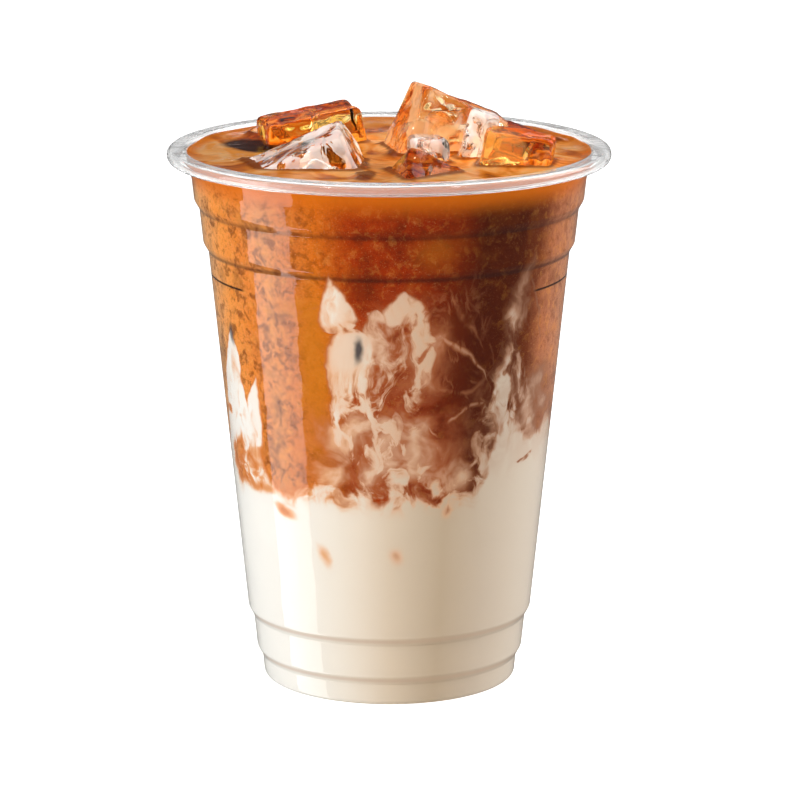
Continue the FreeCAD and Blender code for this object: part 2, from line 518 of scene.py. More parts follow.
# Each block's tint, how much of it is tinted, foam-covered, lined with painted shade and frosted white
# (partly painted highlight), 0 to 1, and its bubbles.
iceBlocks = {
    "ice_tall": ((246, 196, 124), 0.95, 0.75, 0.5, 0.2, 2),
    "ice_front_left": ((250, 216, 164), 0.60, 0.1, 0.7, 0.9, 5),
    "ice_back_left": ((248, 190, 84), 1.0, 0.15, 0.5, 0.1, 3),
    "ice_right": ((246, 190, 88), 1.0, 0.35, 0.5, 0.2, 3),
    "ice_back_right": ((186, 102, 40), 1.0, 0.3, 0.5, 0.0, 2),
    "ice_corner": ((222, 144, 66), 0.9, 0.3, 0.7, 0.25, 2),
    "ice_clear": ((254, 249, 242), 0.1, 0.0, 0.8, 0.95, 3),
    "ice_small": ((253, 240, 222), 0.2, 0.0, 0.8, 0.75, 2),
    "ice_front": ((250, 208, 144), 0.9, 0.8, 0.4, 0.1, 1),
    "ice_chip": ((248, 222, 184), 0.6, 0.1, 0.5, 0.5, 1),
}
bubbles = {
    "grid": (15, 28),             # points from end to end and around
    "size": (3.0, 6.0),           # of a bubble in a cube whose shortest half is halfCube
    "halfCube": 8,
    "narrowness": (0.35, 0.8),
    "thickness": (0.15, 0.5),
    "bend": (1.125, 0.7),         # length of the bends in half sizes, and their height
    "scatter": 0.38,              # how far from the cube's middle, in its half sizes
}


def meltedBlock(name, seed):
    # The cube's own solid, meshed evenly, softened, then moved along its normals by slow and quick waves.
    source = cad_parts[name].data.copy()
    closeSeams(source, distance=1e-5)
    helper = addObject("helper", source)
    remesh = helper.modifiers.new("even", "REMESH")
    remesh.mode = "VOXEL"
    remesh.voxel_size = ice["voxel"] * mm
    smooth = helper.modifiers.new("soft", "SMOOTH")
    smooth.factor = 0.5
    smooth.iterations = ice["smoothing"]
    ready = helper.evaluated_get(bpy.context.evaluated_depsgraph_get())
    mesh = bpy.data.meshes.new_from_object(ready)
    bpy.data.objects.remove(helper)
    bpy.data.meshes.remove(source)
    points = readPoints(mesh)
    waves = enumerate((ice["slowWave"], ice["quickWave"]))
    height = sum(wobble(points / mm, length, seed + k) * size for k, (length, size) in waves)
    points += readVectors(mesh.vertices, "normal") * (height[:, None] - ice["melted"]) * mm
    mesh.vertices.foreach_set("co", points.astype(np.float32).ravel())
    mesh.update()
    mesh.shade_smooth()
    return mesh


def makeIceFinish(name, seed, tint, tinted, foam, lines, frost):
    # Wet ice: tinted in slow clouds, facets like broken glass with thin lines of painted shade where they
    # meet, white streaks, partly frosted ice and partly painted highlight, with edges of painted dark
    # refraction, and foam on part of it.
    sheet = newFinish(name)
    place = sheet.vector("ADD", sheet.millimetres(), (seed * 37.0, seed * 11.0, 0.0))
    scale, push = ice["warp"]
    warped = sheet.push(place, sheet.noise(place, scale, colour=True), push)
    cloud = sheet.noise(warped, *ice["cloud"])
    start, full, lower = ice["tintEdge"]
    tints = sheet.step(cloud, start - lower * tinted, full - lower * tinted)
    colour = sheet.mix(tints, ice["clear"], tint)
    border = sheet.cells(warped, ice["facets"], "DISTANCE_TO_EDGE")["Distance"]
    # Painted shade in thin lines where the facets meet.
    line = sheet.times(sheet.step(border, *ice["lineEdge"]), sheet.step(cloud, *ice["lineCloud"]))
    colour = sheet.wash(colour, ice["line"], line, lines)
    # White streaks, partly frosted ice and partly painted highlight, with a painted dark refraction line
    # beside each.
    streak = sheet.noise(sheet.vector("MULTIPLY", warped, (1.0, 1.0, 0.45)), *ice["streak"])
    start, full, lower = ice["streakEdge"]
    white = sheet.times(sheet.step(streak, start - lower * frost, full - lower * frost), frost)
    dark = sheet.band(streak, start - lower * frost - ice["darkEdge"], ice["darkEdge"])
    colour = sheet.wash(colour, ice["dark"], dark, frost)
    colour = sheet.wash(colour, ice["clear"], white)
    start, full, lower = ice["filmEdge"]
    film = sheet.step(sheet.noise(warped, *ice["film"]), start - lower * foam, full - lower * foam)
    colour = sheet.wash(colour, ice["foam"], film, foam)
    byFoam, byWhite = ice["hiding"]
    hidden = sheet.math("ADD", sheet.times(film, byFoam * foam), sheet.times(white, byWhite))
    through = sheet.math("SUBTRACT", 1.0, hidden, clamp=True)
    # Each facet has its own slope: the way from the cell's point, dotted with the cell's random direction.
    cell = sheet.cells(warped, ice["facets"])
    direction = sheet.vector("SUBTRACT", cell["Color"], (0.5, 0.5, 0.5))
    slope = sheet.vector("DOT_PRODUCT", sheet.vector("SUBTRACT", warped, cell["Position"]), direction)
    uneven = sheet.noise(place, *ice["unevenness"])
    height = sheet.math("ADD", sheet.times(slope, ice["facetSlope"]), uneven)
    wet = sheet.shader("BsdfPrincipled", Base_Color=colour, Roughness=0.0, IOR=1.31,
                       Transmission_Weight=through, Normal=sheet.bump(height, *ice["facetDepth"]))
    return sheet.finishClear(wet, ice["shadow"])


def makeCrackFinish():
    # Air in the ice: the ratio of air to ice, so that flat bubbles flash.
    sheet = newFinish("iceCrack")
    scale, depth, strength = ice["crackDents"]
    dents = sheet.bump(sheet.noise(sheet.metres(), scale), depth, strength)
    air = sheet.shader("BsdfPrincipled", Base_Color=tone(*ice["air"]), Roughness=0.0, IOR=0.763,
                       Transmission_Weight=1.0, Normal=dents)
    return sheet.finishClear(air, ice["crackShadow"])


def makeCracks(name, block, seed, count):
    # Flat wavy bubbles inside a block: ellipsoids squeezed thin, their sheet bent by random waves.
    dice = np.random.default_rng(seed)
    points = readPoints(block) / mm
    middle = (points.min(0) + points.max(0)) / 2
    half = (points.max(0) - points.min(0)) / 2
    rows, columns = bubbles["grid"]
    polar = np.linspace(0, math.pi, rows)[:, None]
    turn = (np.arange(columns) * 2 * math.pi / columns)[None]
    ball = [np.sin(polar) * np.cos(turn), np.sin(polar) * np.sin(turn), np.cos(polar) + 0 * turn]
    unit = np.stack(ball, axis=-1).reshape(-1, 3)
    bendLength, bendHeight = bubbles["bend"]
    everything, faces = [], []
    for index in range(count):
        size = dice.uniform(*bubbles["size"]) * min(half) / bubbles["halfCube"]
        width = size * dice.uniform(*bubbles["narrowness"])
        shape = unit * (size, width, dice.uniform(*bubbles["thickness"]))
        shape[:, 2] += wobble(unit, bendLength, seed + index) * bendHeight
        turned, _ = np.linalg.qr(dice.normal(size=(3, 3)))
        centre = middle + dice.uniform(-bubbles["scatter"], bubbles["scatter"], 3) * half
        faces.append(gridFaces(rows, columns) + len(unit) * index)
        everything.append(shape @ turned + centre)
    mesh = fillMesh(name, np.concatenate(everything) * mm, np.concatenate(faces))
    closeSeams(mesh)
    return mesh


icePieces = {}
crackFinish = makeCrackFinish()
for index, name in enumerate(iceNames):      # every block and its bubbles have random seeds of their own
    *look, count = iceBlocks[name]
    block = meltedBlock(name, 10 * index + 3)
    block.name = name + "_block"
    block.materials.clear()
    block.materials.append(makeIceFinish(name + "_finish", index + 1, *look))
    icePieces[name] = newPiece(name + "_block", block, "ice", name)
    cracks = makeCracks(name + "_cracks", block, 100 + index, count)
    cracks.materials.append(crackFinish)
    newPiece(name + "_cracks", cracks, "ice")
print("ice made:", sum(len(piece.data.polygons) for piece in icePieces.values()), "faces")


drink = {
    "reach": 0.2,              # how far the drink reaches into the cup's wall
    "around": 288,
    "rings": 96,               # rings across the surface
    "crowding": 0.9,           # under 1, the rings stand closer together towards the wall
    "calm": 0.25,              # how far the calm surface lies under the drink's level
    "swell": (17.0, 0.22),     # length and height of the slow swell
    "edge": (1.1, 0.7),        # meniscus at the wall: how far it reaches, and its height
    "iceEdge": (1.0, 0.9),     # meniscus at the ice
    "waterline": 0.45,         # a block's points this near the level are its waterline
    "topDepth": 0.8,           # upward faces less than this under the level have the top's finish
    "sideDepth": 0.25,         # faces less than this inside the wall have the side's finish
    "baseHeight": 6.0,         # faces under this have it too
}


def waterline(mesh):
    # Points of a block near the drink's level.
    points = readPoints(mesh) / mm
    return points[np.abs(points[:, 2] - drinkLevel) < drink["waterline"]][:, :2]


def surfaceHeight(x, y, radius):
    # Level, plus a slow swell, plus a rise that falls off exponentially from the wall and from each block.
    flat = np.stack([x.ravel(), y.ravel(), 0 * x.ravel()], axis=1)
    swellLength, swellHeight = drink["swell"]
    height = swellHeight * wobble(flat, swellLength, 5)
    nearest = np.full(len(flat), np.inf)
    for piece in icePieces.values():
        line = waterline(piece.data)
        if len(line):
            gap = np.sqrt(((flat[:, None, :2] - line[None]) ** 2).sum(-1)).min(1)
            nearest = np.minimum(nearest, gap)
    toWall = np.maximum(radius - np.hypot(flat[:, 0], flat[:, 1]), 0)
    for away, (length, rise) in ((toWall, drink["edge"]), (nearest, drink["iceEdge"])):
        height += rise * np.exp(-away / length)
    return drinkLevel - drink["calm"] + height.reshape(x.shape)


def drinkProfile():
    # The cup's inner line up to the drink's level, moved a little way into the wall.
    inner = outline + outlineNormals * (cup["wall"] - drink["reach"])
    inner[0, 0] = 0
    wallTop = int(np.argmax(inner[:, 1] > drinkLevel))
    share = (drinkLevel - inner[wallTop - 1, 1]) / (inner[wallTop, 1] - inner[wallTop - 1, 1])
    last = inner[wallTop - 1] + share * (inner[wallTop] - inner[wallTop - 1])
    return np.concatenate([inner[:wallTop], [last]])


def makeDrinkBody(profile):
    # The side is the profile turned about the axis; the top is a polar grid with the surface's height.
    around = drink["around"]
    side, sideFaces = lathe(profile, around)
    radius = profile[-1, 0]
    angle = np.arange(around) * 2 * math.pi / around
    shares = np.linspace(1, 0, drink["rings"]) ** drink["crowding"]
    ring = (radius * shares)[:, None]
    x, y = ring * np.cos(angle), ring * np.sin(angle)
    top = np.stack([x, y, surfaceHeight(x, y, radius)], axis=-1).reshape(-1, 3) * mm
    top[-around:, 2] = top[-around:, 2].mean()
    side[-around:] = top[:around]
    faces = np.concatenate([sideFaces, gridFaces(drink["rings"], around) + len(side)])
    mesh = fillMesh("drinkBody", np.concatenate([side, top]), faces)
    closeSeams(mesh)
    return mesh


def shrunkBlock(mesh):
    # The block's convex hull, scaled about its middle, so that the drink reaches into the ice.
    points = readPoints(mesh)
    middle = (points.min(0) + points.max(0)) / 2
    hull = bmesh.new()
    for point in (points[::ice["cutterSkip"]] - middle) * ice["cutterShare"] + middle:
        hull.verts.new(point)
    made = bmesh.ops.convex_hull(hull, input=hull.verts, use_existing_faces=False)
    inside = made["geom_interior"] + made["geom_unused"]
    spare = {item for item in inside if isinstance(item, bmesh.types.BMVert)}
    bmesh.ops.delete(hull, geom=list(spare), context="VERTS")
    bmesh.ops.recalc_face_normals(hull, faces=hull.faces)
    block = bpy.data.meshes.new("cutter")
    hull.to_mesh(block)
    hull.free()
    return block


def dropFlaps(mesh):
    # Takes out faces that share all their corners with another, and the edges and points only they use.
    shell = bmesh.new()
    shell.from_mesh(mesh)
    seen = {}
    for face in shell.faces:
        seen.setdefault(frozenset(face.verts), []).append(face)
    doubled = [face for same in seen.values() if len(same) > 1 for face in same]
    bmesh.ops.delete(shell, geom=doubled, context="FACES")
    shell.to_mesh(mesh)
    shell.free()


def cutRoundIce(mesh):
    # Takes the shrunk blocks out of the drink one after another.
    body = addObject("body", mesh)
    cutters = []
    for piece in icePieces.values():
        cutters.append(addObject("cutter", shrunkBlock(piece.data)))
        cut = body.modifiers.new("cut", "BOOLEAN")
        cut.operation = "DIFFERENCE"
        cut.solver = "EXACT"
        cut.object = cutters[-1]
    ready = body.evaluated_get(bpy.context.evaluated_depsgraph_get())
    result = bpy.data.meshes.new_from_object(ready)
    for thing in cutters + [body]:
        bpy.data.objects.remove(thing)
    dropFlaps(result)
    return result


# The drink's side. Angles are degrees from the front, + to the viewer's right.
marble = {
    "degree": 0.7,             # mm of wall to a degree
    "warps": ((16.0, 4.5), (5.5, 2.6), (2.0, 0.6)),     # size of the swirls, and how far they push
    # Noises are given by scale, detail, roughness and distortion.
    "curdle": (0.20, 4.0, 0.54, 0.9),
    "cloud": (0.15, 3.0, 0.5, 0.4),
    "mottle": (0.26, 4.0, 0.52, 1.1),
    "strand": (0.13, 3.0, 0.5, 1.0),
    "patches": (0.42, 4.0, 0.65, 0.5),
    "grain": (1.0, 4.0, 0.75),
    "specks": (3.4, 2.0, 0.6),
    # Height of the milk's edge round the cup.
    "edge": (
        (-180, 52), (-150, 55), (-120, 50), (-100, 56), (-85, 54), (-75, 53), (-60, 51), (-50, 54),
        (-42, 51), (-30, 52), (-20, 53), (-8, 53), (2, 54.5), (14, 55), (20, 53.5), (30, 52), (38, 60),
        (46, 68), (56, 64), (70, 62), (85, 58), (100, 50), (125, 57), (150, 50), (180, 52),
    ),
    "edgeDepth": 8.0,
    "edgeBlend": (-0.85, 1.0), # depths under the edge where the milk starts and is full, in edgeDepths
    # How strongly milk and coffee are churned together along that edge.
    "churn": (
        (-180, 1.6), (-80, 1.0), (-45, 1.4), (-28, 2.4), (-10, 3.0), (10, 3.0), (25, 2.4), (40, 1.2),
        (60, 1.1), (85, 1.2), (180, 1.6),
    ),
    # Levels of the noises where each look starts and is full.
    "sinkEdge": (0.66, 0.42),
    "mottleEdge": (0.61, 0.36),
    "strandEdge": (0.34, 0.58),
    "threadEdge": (0.30, 0.56),
    "veilEdge": (0.36, 0.60),
    "ridge": (0.5, 0.055),     # level of the strands in their noise, and half their thickness
    "uneven": (1.2, 0.4),      # a plume's strength: so many times its mottles, plus so much
    "hazeLift": 0.5,
    "cloudGain": 5.0,          # how far clouds show where milk and coffee are half mixed
    # Milk standing up in the coffee: (height, angle) of the middle, (height, half width), softness, strength.
    "plumes": (
        (((98.5, -19.0), (94, -17.6), (90, -17.0), (86, -18.5)),
         ((99.2, -1), (97.5, 0.9), (94, 3.4), (90.5, 6.2), (88, 6.4), (85.5, -1)), 2.6, 0.86),
        (((88, -16), (84, -12.5), (79, -12), (74, -12), (66, -12)),
         ((87, -2), (84.8, 6.5), (80, 8), (76, 8), (64, 8), (58, 4), (52, -3)), 4.0, 0.86),
        (((96.5, 5), (91, 5), (86, 6), (78, 4), (70, 2), (60, 2)),
         ((96, -3), (93.8, 2.6), (90.5, 6.8), (86, 8.4), (78, 9.4), (70, 10.5), (58, 13), (52, -3)),
         4.0, 0.70),
        (((90, -3), (84, -3)), ((91.5, -2), (89, 4), (85, 6), (80, 5), (76, -2)), 3.0, 0.62),
        (((100, 50), (90, 46), (80, 45), (70, 44)),
         ((103, -6), (96, 1), (90, 3), (80, 4), (74, 9), (66, 14), (58, 15)), 12.0, 0.82),
        (((84, -64), (76, -65.5), (70, -68), (60, -66)),
         ((84.5, -2), (82.5, 0.4), (77, 4.0), (70, 7.5), (64, 11), (58, 14), (50, 16)), 1.6, 1.0),
        (((74, -52.5), (60, -56)), ((75.5, -2), (72, 1.0), (66, 4.0), (58, 9)), 2.2, 0.92),
        (((90, -112), (60, -106)), ((92, -3), (86, 1.5), (74, 7), (58, 15)), 3.0, 0.95),
        (((84, -152), (60, -158)), ((86, -3), (78, 2), (66, 9), (54, 15)), 3.0, 0.9),
        (((94, 104), (60, 98)), ((95, -3), (88, 2), (74, 6), (56, 14)), 3.5, 0.9),
        (((86, 146), (60, 140)), ((88, -3), (80, 2), (66, 8), (54, 16)), 2.6, 0.95),
    ),
    # Spots, here and below: angle, height, half sizes (degrees, mm), turn, softness, strength.
    "sinks": (                 # coffee sunk into the milk
        (-11, 87.0, 9, 1.6, 6, 1.0, 0.7), (-64, 52.5, 12, 5.0, 0, 0.8, 0.72),
        (-75, 63.5, 3.2, 1.3, -10, 0.7, 0.7), (-38, 57, 13, 8.5, 0, 0.7, 0.95),
        (-13, 55, 6.5, 5.5, 0, 0.9, 0.85), (29, 60, 9.0, 9.5, 0, 0.9, 0.8),
        (31.5, 52.3, 3.2, 2.0, 0, 0.8, 0.7), (55.5, 66.5, 2.6, 5.2, -22, 0.8, 0.85),
        (62.5, 65, 3.8, 5.0, 15, 0.9, 0.7), (56.5, 54.0, 4.2, 0.7, 14, 0.7, 0.8),
        (69, 69, 3.0, 7.0, 0, 1.0, 0.75), (12, 66, 9, 6.5, 0, 1.2, 0.5),
        (-120, 58, 8, 5, 10, 0.8, 0.7), (-92, 52, 6, 3, -10, 0.8, 0.6),
        (120, 62, 7, 6, 0, 0.8, 0.7), (160, 50, 6, 3, 10, 0.8, 0.6),
    ),
    "mottled": (               # coffee mottled all through the milk
        (4, 51.5, 23, 6, 0, 1.2, 0.42), (2, 66, 23, 11, 0, 1.0, 0.68), (8, 84, 10, 10, 0, 1.0, 0.32),
        (-34, 52, 14, 5, 0, 1.0, 0.4), (50, 74, 14, 14, 0, 1.2, 0.42), (-110, 66, 16, 12, 0, 1.0, 0.6),
        (110, 70, 18, 14, 0, 1.0, 0.6), (155, 64, 18, 12, 0, 1.0, 0.6), (-160, 66, 16, 12, 0, 1.0, 0.6),
    ),
    "haze": (                  # thin haze of milk in the coffee
        (-2, 60, 26, 11, 0, 1.1, 0.42), (4, 80, 14, 12, 0, 1.2, 0.34), (60, 66, 14, 9, 0, 1.2, 0.4),
        (-21, 54.5, 9, 5, 0, 1.2, 0.6), (22, 53, 8, 4, 0, 1.2, 0.5), (34, 64, 9, 9, 0, 1.2, 0.2),
    ),
    "strands": (22, 79, 27, 20, 0, 0.9, 0.22),          # where fine light strands show
    "gold": (                  # golden coffee beside the milk
        (-25.5, 76, 5.0, 18, 0, 1.2, 0.75), (-30, 90.5, 6, 2.0, 0, 1.4, 0.5),
        (14, 104, 6, 3.5, 10, 1.8, 0.3),
    ),
    "shades": (                # painted shade: the coffee darker in these spots, where less light reaches it
        (24, 82, 11, 15, 0, 1.2, 0.6), (-8, 96, 5, 4, 0, 1.4, 0.4),
    ),
    "drops": (                 # grey-black drops caught in the milk
        (-10.5, 81.6, 1.5, 2.6, 0, 1.2, 0.9), (-64, 82.2, 1.4, 2.0, 10, 1.2, 0.8),
    ),
    "stains": (                # faint stains low in the milk; all share one softness
        (-41, 43.4, 4.6, 0.9, -14, 0.72), (-25.3, 34, 1.8, 2.2, 20, 0.40), (2.2, 35.0, 3.0, 1.5, -42, 0.46),
        (21.5, 45.6, 2.2, 1.7, -20, 0.46), (-52, 47.6, 6.5, 1.1, 2, 0.5), (-4, 48, 3.2, 1.1, 10, 0.45),
        (-98, 44, 3, 0.9, -12, 0.4), (110, 43, 3, 0.9, 18, 0.4), (165, 41, 2, 1, -30, 0.3),
        (-140, 45, 3, 0.9, 12, 0.4),
    ),
    "stainSoftness": 1.9,
    "threadSoftness": 2.6,     # where a thread ends, in half thicknesses
    # Thin threads of milk: (angle, height) points, half thickness, strength.
    "threads": (
        (((9, 91), (13, 86.5), (17, 83.6), (22, 81.5), (28, 79.5), (33, 76), (37, 71), (41, 67)), 0.5, 0.48),
        (((-8, 89.5), (-2, 89.8), (4, 88.6), (9, 90.5), (13, 87)), 0.4, 0.5),
        (((24, 87.5), (28, 86.5), (31, 84), (33, 81)), 0.5, 0.3),
        (((18.2, 97), (19.2, 94), (21, 91.5), (24.5, 89)), 0.9, 0.4),
        (((20, 64.5), (24, 66.5), (28, 68.5), (33, 68.5), (37, 71)), 0.5, 0.45),
        (((12, 66), (15, 64), (18, 61.5)), 0.4, 0.45),
        (((-37, 90.6), (-31, 90.0), (-25, 90.8), (-20, 92)), 0.35, 0.22),
        (((24, 96), (28, 91), (33, 86), (36, 80), (39, 73)), 0.6, 0.22),
        (((14, 76), (20, 73), (26, 72), (33, 74), (38, 79)), 0.5, 0.3),
        (((33, 62), (38, 70), (42, 80), (44, 90)), 0.9, 0.25),
        (((50, 98), (54, 92), (58, 84), (61, 75)), 0.8, 0.25),
    ),
    # Colour of the coffee round the cup: angle, red, green, blue. Partly the coffee's own mixing, partly
    # painted light and shade: paler on the left, darker at the front-right.
    "coffee": (
        (-180, 120, 58, 18), (-130, 160, 84, 30), (-90, 250, 204, 150), (-76, 250, 192, 126),
        (-62, 248, 168, 80), (-50, 234, 144, 64), (-41, 224, 150, 86), (-32, 216, 128, 60),
        (-23, 224, 122, 28), (-12, 178, 60, 0), (6, 160, 48, 0), (20, 138, 44, 0), (29, 80, 22, 0),
        (44, 82, 28, 3), (52, 122, 58, 26), (60, 190, 120, 82), (85, 222, 164, 126), (130, 130, 66, 24),
        (180, 120, 58, 18),
    ),
    # Mixtures and milk round the cup: share of the way round from behind, red, green, blue. Partly their own
    # colour, partly painted light and shade: lighter on the left, darker at the front-right.
    "thin": (
        (0.0, 196, 112, 56), (0.41, 222, 134, 62), (0.46, 184, 108, 64), (0.55, 180, 108, 68),
        (0.60, 112, 64, 40), (0.68, 162, 112, 84), (1.0, 196, 112, 56),
    ),
    "warm": (
        (0.0, 230, 178, 130), (0.42, 238, 186, 138), (0.49, 230, 192, 160), (0.56, 222, 180, 144),
        (0.61, 176, 130, 100), (0.68, 206, 168, 142), (1.0, 230, 178, 130),
    ),
    "cream": (
        (0.0, 240, 232, 220), (0.3, 250, 248, 243), (0.389, 247, 243, 236), (0.444, 242, 233, 220),
        (0.472, 237, 224, 207), (0.5, 228, 211, 189), (0.556, 204, 184, 158), (0.611, 211, 195, 176),
        (0.667, 219, 206, 190), (0.72, 228, 216, 202), (1.0, 240, 232, 220),
    ),
    # Shares of milk over which each of those takes over from the one before.
    "stages": (("thin", 0.0, 0.42), ("warm", 0.26, 0.74), ("cream", 0.56, 1.0)),
    # How lively the coffee's own clouds and specks are.
    "lively": (
        (-180, 0.6), (-85, 0.8), (-55, 1.0), (-30, 0.8), (-14, 0.42), (12, 0.32), (28, 0.15),
        (45, 0.2), (60, 0.5), (85, 0.6), (180, 0.6),
    ),
    # Tones in the coffee: noise, where it starts and is full, strength, whether "lively" holds, colour.
    "tones": (
        ("cloud", 0.48, 0.72, 0.40, True, (232, 140, 34)),
        ("cloud", 0.5, 0.28, 0.45, False, (92, 34, 6)),
        ("patches", 0.50, 0.36, 0.62, True, (112, 44, 6)),
        ("patches", 0.52, 0.66, 0.50, True, (242, 166, 76)),
        ("grain", 0.5, 0.30, 0.4, False, (80, 28, 4)),
        ("grain", 0.60, 0.70, 0.45, True, (240, 176, 112)),
        ("specks", 0.62, 0.70, 0.6, True, (244, 186, 124)),
        ("specks", 0.38, 0.30, 0.35, False, (70, 24, 4)),
    ),
    "goldTone": (212, 130, 28),
    "shadesTone": (84, 30, 8),
    "dropsTone": (58, 58, 66),
    # Painted shade in the cup's creases: height, half thickness, strength.
    "creases": ((97.8, 0.9, 0.55), (107.2, 1.0, 0.35)),
    "creaseShadeTone": (60, 20, 6),
    # Painted shade in the cup's lower creases, over the milk: height, half thickness, strength.
    "milkCreases": ((15.4, 0.9, 0.5), (6.0, 0.9, 0.5)),
    "milkCreaseShadeTone": (214, 184, 158),
    "rimGlow": (110.5, 116.5, 0.85),     # painted glow of light in the coffee under the rim: from, to, strength
    "rimGlowTone": (228, 122, 14),
    # How far tan clouds veil the milk just under its edge, and the heights between which they come up.
    "veil": (
        (-180, 0.4), (-80, 0.15), (-60, 0.05), (-40, 0.3), (-15, 0.45), (12, 0.5), (30, 0.45),
        (50, 0.3), (80, 0.35), (180, 0.4),
    ),
    "veilRise": (46.0, 60.0),
    "veilMilk": (0.5, 0.9),    # shares of milk where it starts and is full
    "ringLine": (92.3, 0.34, 52.0, 0.95),   # dark line round the sides: height, half, from angle, strength
    "ringTone": (34, 20, 18),
}


def angleOf(sheet, x, y):
    # Degrees round the cup from the front, + towards +x.
    return sheet.times(sheet.math("ARCTAN2", x, sheet.times(y, -1.0)), 180 / math.pi)


def plume(sheet, at, data):
    # 1 in a column: the half width less the distance from the middle line, made soft at its edge.
    middle, width, soft, strength = data
    away = sheet.math("ABSOLUTE", sheet.math("SUBTRACT", at["angle"], sheet.curve(at["height"], middle)))
    inside = sheet.math("SUBTRACT", sheet.curve(at["height"], width), away)
    return sheet.times(sheet.step(inside, -soft / 2, soft / 2), strength)


def spot(sheet, at, data):
    # An ellipse on the wall, where the place is (degrees times their length, height).
    angle, height, wide, tall, turn, soft, strength = data
    middle = (angle * marble["degree"], height, 0)
    halves = (wide * marble["degree"], tall, 1)
    return sheet.times(sheet.oval(at["wall"], middle, halves, turn, 1 + soft / 2, 1 - soft / 2), strength)


def thread(sheet, at, data):
    # A thin line: height less its curve over the angle, kept to the curve's own stretch.
    points, half, strength = data
    line = sheet.band(at["height"], sheet.curve(at["angle"], points), half * marble["threadSoftness"])
    first, last = points[0][0], points[-1][0]
    begun = sheet.step(at["angle"], first - 1, first + 2)
    unfinished = sheet.step(at["angle"], last + 1, last - 2)
    return sheet.times(line, sheet.times(begun, unfinished), strength)


def readPlaces(sheet):
    # What the patterns hang on: places in mm, plain and pushed about by the swirls, and the angle and
    # height of both, of which those named true are the plain ones.
    at = {"place": sheet.millimetres()}
    swirled = at["place"]
    for size, push in marble["warps"]:
        swirled = sheet.push(swirled, sheet.noise(at["place"], 1 / size, colour=True), push)
    x, y, at["height"] = sheet.split(swirled)
    at["angle"] = angleOf(sheet, x, y)
    wall = sheet.add("CombineXYZ")
    sheet.join(wall.inputs[0], sheet.times(at["angle"], marble["degree"]))
    sheet.join(wall.inputs[1], at["height"])
    at["wall"] = wall.outputs[0]
    x, y, at["trueHeight"] = sheet.split(at["place"])
    at["trueAngle"] = angleOf(sheet, x, y)
    drawnOut = sheet.vector("MULTIPLY", swirled, (1.0, 1.0, 0.5))
    for name, place in (("curdle", swirled), ("cloud", swirled), ("mottle", drawnOut), ("strand", drawnOut)):
        at[name] = sheet.noise(place, *marble[name])
    return at


def milkShare(sheet, at):
    # 0 in the coffee and 1 in the milk: the depth under the milk's edge plus churned curds. Plumes, haze
    # and threads are laid on by the larger value; sinks, mottling and stains take their share away.
    edge = sheet.curve(at["angle"], marble["edge"])
    depth = sheet.math("DIVIDE", sheet.math("SUBTRACT", edge, at["height"]), marble["edgeDepth"])
    churn = sheet.curve(at["trueAngle"], marble["churn"])
    swirl = sheet.times(sheet.math("SUBTRACT", at["curdle"], 0.5), churn)
    milk = sheet.step(sheet.math("ADD", depth, swirl), *marble["edgeBlend"])
    uneven = sheet.math("MULTIPLY_ADD", at["mottle"], *marble["uneven"])
    for data in marble["plumes"]:
        column = sheet.math("MULTIPLY", plume(sheet, at, data), uneven, clamp=True)
        milk = sheet.math("MAXIMUM", milk, column)
    curds = sheet.step(at["curdle"], *marble["sinkEdge"])
    for data in marble["sinks"]:
        left = sheet.math("SUBTRACT", 1.0, sheet.times(spot(sheet, at, data), curds))
        milk = sheet.times(milk, left)
    mottles = sheet.step(at["mottle"], *marble["mottleEdge"])
    for data in marble["mottled"]:
        milk = sheet.math("SUBTRACT", milk, sheet.times(spot(sheet, at, data), mottles), clamp=True)
    hazy = sheet.math("ADD", at["cloud"], marble["hazeLift"])
    for data in marble["haze"]:
        milk = sheet.math("MAXIMUM", milk, sheet.times(spot(sheet, at, data), hazy))
    # Clouds, strongest where milk and coffee are half mixed.
    half = sheet.times(milk, sheet.math("SUBTRACT", 1.0, milk))
    clouds = sheet.times(sheet.math("SUBTRACT", at["cloud"], 0.5), marble["cloudGain"])
    milk = sheet.math("ADD", milk, sheet.times(half, clouds), clamp=True)
    # Fine light strands along one level of the swirls.
    ridge = sheet.band(at["strand"], *marble["ridge"])
    ridge = sheet.times(ridge, sheet.step(at["mottle"], *marble["strandEdge"]))
    milk = sheet.math("MAXIMUM", milk, sheet.times(spot(sheet, at, marble["strands"]), ridge))
    broken = sheet.step(at["mottle"], *marble["threadEdge"])
    for data in marble["threads"]:
        milk = sheet.math("MAXIMUM", milk, sheet.times(thread(sheet, at, data), broken))
    for *place, strength in marble["stains"]:
        stain = spot(sheet, at, (*place, marble["stainSoftness"], strength))
        milk = sheet.math("SUBTRACT", milk, stain, clamp=True)
    return milk


def coffeeColour(sheet, at, turn):
    # The coffee's colour round the cup, partly painted light and shade, washed with its tones, golden spots,
    # painted shade in dark spots and in the creases, and a painted glow under the rim.
    # The ramp round the cup holds painted light and shade as well as the coffee's own mixing.
    colour = sheet.ramp(turn, [((angle + 180) / 360, *rest) for angle, *rest in marble["coffee"]])
    noises = {name: sheet.noise(at["place"], *marble[name]) for name in ("patches", "grain", "specks")}
    noises["cloud"] = at["cloud"]
    lively = sheet.curve(at["trueAngle"], marble["lively"])
    for name, start, full, strength, held, tint in marble["tones"]:
        share = sheet.times(lively, strength) if held else strength
        colour = sheet.wash(colour, tint, sheet.step(noises[name], start, full), share)
    # Golden spots, then the shades spots, which are painted shade.
    for name in ("gold", "shades"):
        for data in marble[name]:
            colour = sheet.wash(colour, marble[name + "Tone"], spot(sheet, at, data))
    # Painted shade in the cup's creases.
    for level, half, strength in marble["creases"]:
        line = sheet.band(at["trueHeight"], level, half)
        colour = sheet.wash(colour, marble["creaseShadeTone"], line, strength)
    # Painted glow: the coffee lit golden just under the rim.
    foot, top, strength = marble["rimGlow"]
    return sheet.wash(colour, marble["rimGlowTone"], sheet.step(at["trueHeight"], foot, top), strength)


